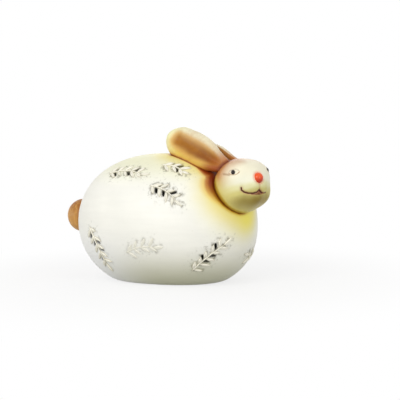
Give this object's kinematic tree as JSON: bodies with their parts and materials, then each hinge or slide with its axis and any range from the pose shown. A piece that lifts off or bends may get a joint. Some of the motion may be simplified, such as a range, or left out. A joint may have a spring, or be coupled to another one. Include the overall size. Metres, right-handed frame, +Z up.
{
  "type": "rabbit figurine",
  "caption": "Hollow ceramic rabbit with an egg-shaped body on a flat foot, turned head, laid-back ears, ball tail and pierced leaf-sprig relief.",
  "frame": {"origin": "middle of the foot's flat underside, under the middle of the egg body", "axes": "+Z up, +X towards the head end along the egg's axis, the turned face on the -Y side"},
  "size_m": [0.1749, 0.105, 0.1151],
  "materials": {
    "body_glaze": "satin",
    "head_glaze": "satin",
    "ear_glaze": "satin",
    "tail_glaze": "satin",
    "nose_glaze": "gloss",
    "eye_glaze": "gloss",
    "sprig_glaze": "satin"
  },
  "bodies": {
    "root": {"body_shell": "body_glaze", "head_shell": "head_glaze", "ear_left": "ear_glaze", "ear_right": "ear_glaze", "tail": "tail_glaze", "nose": "nose_glaze", "eye_left": "eye_glaze", "eye_right": "eye_glaze", "sprig_01": "sprig_glaze", "sprig_02": "sprig_glaze", "sprig_03": "sprig_glaze", "sprig_04": "sprig_glaze", "sprig_05": "sprig_glaze", "sprig_06": "sprig_glaze", "sprig_07": "sprig_glaze", "sprig_08": "sprig_glaze", "sprig_09": "sprig_glaze", "sprig_10": "sprig_glaze", "sprig_11": "sprig_glaze", "sprig_12": "sprig_glaze"}
  },
  "joints": []
}
